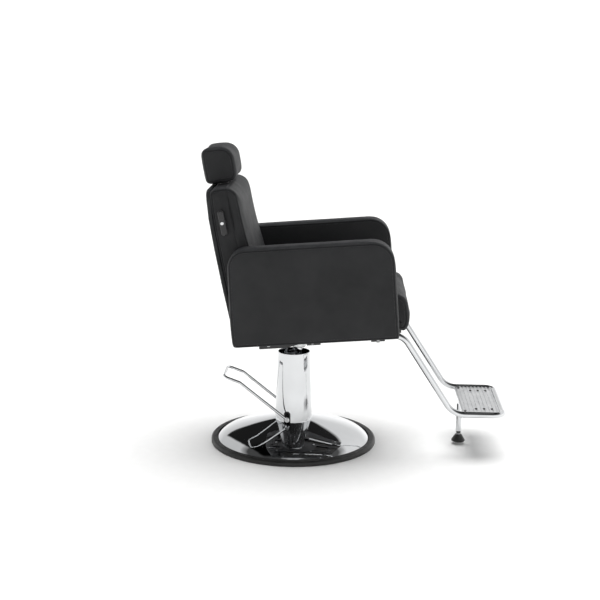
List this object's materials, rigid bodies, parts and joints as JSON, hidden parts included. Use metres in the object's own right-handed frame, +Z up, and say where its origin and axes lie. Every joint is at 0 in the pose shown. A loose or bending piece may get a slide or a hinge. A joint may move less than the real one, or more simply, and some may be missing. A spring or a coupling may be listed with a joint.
{
  "type": "hydraulic barber chair",
  "caption": "Hydraulic barber chair: upholstered seat, arms, reclining back and headrest on a pedal-pumped ram over a round base, with a tube footrest.",
  "frame": {"origin": "on the floor, under the middle of the round base", "axes": "+Z up; the chair faces -Y; +X is the sitter's left"},
  "size_m": [0.62, 1.079, 1.0939],
  "materials": {
    "rubber_black": "black rubber",
    "chrome": "bright chrome plate",
    "black_steel": "black paint",
    "grey_iron": "as cast",
    "plain_steel": "machined",
    "zinc_bolts": "zinc plate",
    "bronze": "machined",
    "plywood": "birch plywood",
    "black_vinyl": null,
    "black_plastic": "moulded",
    "ribbed_aluminium": "extruded, satin"
  },
  "bodies": {
    "base": {"base_rim": "rubber_black", "base_plate": "black_steel", "base_dome": "chrome", "column_shroud": "chrome", "slot_edging": "black_plastic", "pump_block": "grey_iron", "pump_bolts": "zinc_bolts", "pump_cylinder": "plain_steel", "oil_reservoir": "black_steel", "pump_gland": "plain_steel", "ram_wiper": "rubber_black", "shaft_bushes": "black_plastic", "plunger_spring": "plain_steel"},
    "pedal": {"pedal_loop": "chrome", "pedal_shaft": "plain_steel", "pedal_bolts": "zinc_bolts", "pump_rocker": "plain_steel"},
    "plunger": {"pump_plunger": "plain_steel"},
    "ram": {"ram": "chrome", "ram_piston": "plain_steel", "piston_seal": "rubber_black"},
    "seat": {"swivel_socket": "black_steel", "swivel_bearing": "plain_steel", "seat_mount_plate": "black_steel", "seat_rails": "black_steel", "cross_bars": "black_steel", "frame_bolts": "zinc_bolts", "seat_board": "plywood", "seat_cushion": "black_vinyl", "arm_pad_left": "black_vinyl", "arm_pad_right": "black_vinyl", "arm_core_left": "plywood", "arm_core_right": "plywood", "hinge_plate_left": "plain_steel", "hinge_plate_right": "plain_steel", "lock_cylinder": "black_steel", "cylinder_saddles": "black_steel", "footrest_clamps": "black_steel", "clamp_bolts": "zinc_bolts"},
    "lock_rod": {"lock_rod": "plain_steel"},
    "back": {"back_cushion": "black_vinyl", "back_panel": "black_vinyl", "back_board": "plywood", "back_frame": "black_steel", "hinge_bushes": "bronze", "recline_lever": "black_steel", "headrest_sleeves": "black_steel", "handle_bush": "black_plastic"},
    "handle": {"handle_shaft": "plain_steel", "recline_handle": "black_plastic", "handle_screw": "chrome"},
    "headrest": {"headrest_pad": "black_vinyl", "headrest_core": "plywood", "headrest_posts": "chrome"},
    "footrest": {"footrest_tube": "chrome", "footrest_plate": "ribbed_aluminium", "footrest_fasteners": "black_steel", "footrest_leg": "chrome"},
    "leveller": {"leveller_stem": "plain_steel", "leveller_foot": "rubber_black"}
  },
  "joints": [
    {"name": "ram_lift", "type": "slide", "parent": "base", "child": "ram", "axis": [0, 0, 1], "range_m": [0, 0.15]},
    {"name": "seat_swivel", "type": "hinge", "parent": "ram", "child": "seat", "pos_m": [0, -0.017, 0.385], "axis": [0, 0, 1], "continuous": true},
    {"name": "pedal_hinge", "type": "hinge", "parent": "base", "child": "pedal", "pos_m": [0, 0.02, 0.1], "axis": [-1, 0, 0], "range_deg": [0, 28], "stiffness_Nm_per_rad": 6, "springref_deg": -20.05},
    {"name": "plunger_slide", "type": "slide", "parent": "base", "child": "plunger", "axis": [0, 0, 1], "range_m": [-0.0125, 0], "deforming": ["plunger_spring"]},
    {"name": "back_recline", "type": "hinge", "parent": "seat", "child": "back", "pos_m": [0, 0.14755, 0.49489], "axis": [-1, 0, 0], "range_deg": [0, 38]},
    {"name": "lock_slide", "type": "slide", "parent": "seat", "child": "lock_rod", "axis": [0, -0.9969, 0.079], "range_m": [0, 0.06]},
    {"name": "handle_turn", "type": "hinge", "parent": "back", "child": "handle", "pos_m": [-0.235, 0.23624, 0.84197], "axis": [-1, 0, 0], "range_deg": [0, 30], "stiffness_Nm_per_rad": 0.6, "springref_deg": -17.19},
    {"name": "headrest_slide", "type": "slide", "parent": "back", "child": "headrest", "axis": [0, 0.1656, 0.9862], "range_m": [0, 0.09]},
    {"name": "footrest_slide", "type": "slide", "parent": "seat", "child": "footrest", "axis": [0, -0.9969, 0.079], "range_m": [0, 0.045]},
    {"name": "leveller_screw", "type": "slide", "parent": "footrest", "child": "leveller", "axis": [0, 0, 1], "range_m": [-0.011, 0.005]}
  ],
  "couplings": [
    {"joint": "plunger_slide", "follows": "pedal_hinge", "m_per_rad": -0.025},
    {"joint": "lock_slide", "follows": "back_recline", "m_per_rad": 0.08826}
  ]
}
